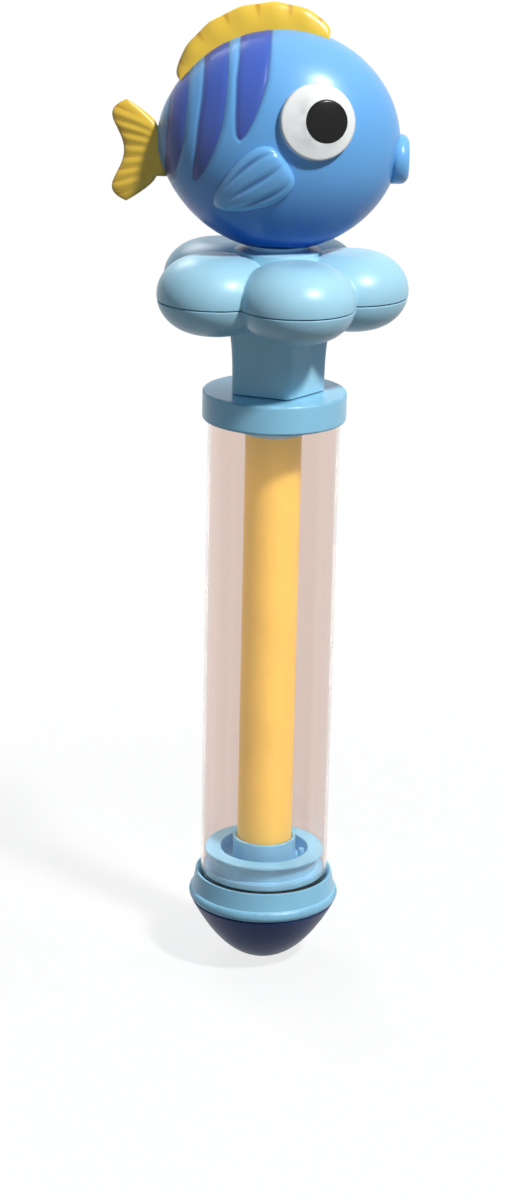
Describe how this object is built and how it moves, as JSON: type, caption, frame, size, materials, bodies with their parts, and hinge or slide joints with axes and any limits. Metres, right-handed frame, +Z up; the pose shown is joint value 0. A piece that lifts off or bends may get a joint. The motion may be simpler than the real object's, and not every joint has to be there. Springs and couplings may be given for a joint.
{
  "type": "water squirter",
  "caption": "Hand pump water squirter: clear barrel with a nozzle, sliding piston on a yellow rod, and a petalled grip topped by a toy fish.",
  "frame": {"origin": "middle of the outlet at the nozzle's tip", "axes": "+Z up the barrel towards the grip, +X the way the fish faces"},
  "size_m": [0.0886, 0.0762, 0.3001],
  "materials": {
    "clear_tube": "clear gloss, faint pink tint",
    "sky_plastic": "moulded gloss",
    "petal_plastic": "moulded gloss",
    "navy_plastic": "moulded gloss",
    "yellow_plastic": "moulded gloss",
    "fish_blue": "sprayed gloss, darker below, banded",
    "eye_white": "gloss",
    "pupil_black": "gloss",
    "white_plastic": "moulded",
    "black_rubber": "matte",
    "screw_steel": "zinc plated"
  },
  "bodies": {
    "barrel": {"barrel_tube": "clear_tube", "top_cap": "sky_plastic", "nozzle_collar": "sky_plastic", "nozzle_cone": "navy_plastic", "nozzle_gasket": "black_rubber"},
    "seal": {"piston_seal": "black_rubber"},
    "plunger": {"piston": "sky_plastic", "plunger_rod": "yellow_plastic", "rod_end_plug": "white_plastic", "handle_screw": "screw_steel", "petal_lower_shell": "petal_plastic", "petal_upper_shell": "petal_plastic", "fish_post": "white_plastic", "post_screw": "screw_steel", "fish_shell_right": "fish_blue", "fish_shell_left": "fish_blue", "shell_screws": "screw_steel", "dorsal_fin": "yellow_plastic", "tail_fin": "yellow_plastic", "side_fin_right": "sky_plastic", "side_fin_left": "sky_plastic", "eye_right": "eye_white", "eye_left": "eye_white", "pupil_right": "pupil_black", "pupil_left": "pupil_black", "mouth_ring": "sky_plastic"}
  },
  "joints": [
    {"name": "plunger_slide", "type": "slide", "parent": "barrel", "child": "seal", "axis": [0, 0, 1], "range_m": [0, 0.1315]},
    {"name": "plunger_turn", "type": "hinge", "parent": "seal", "child": "plunger", "pos_m": [0, 0, 0.0271], "axis": [0, 0, 1], "continuous": true}
  ]
}
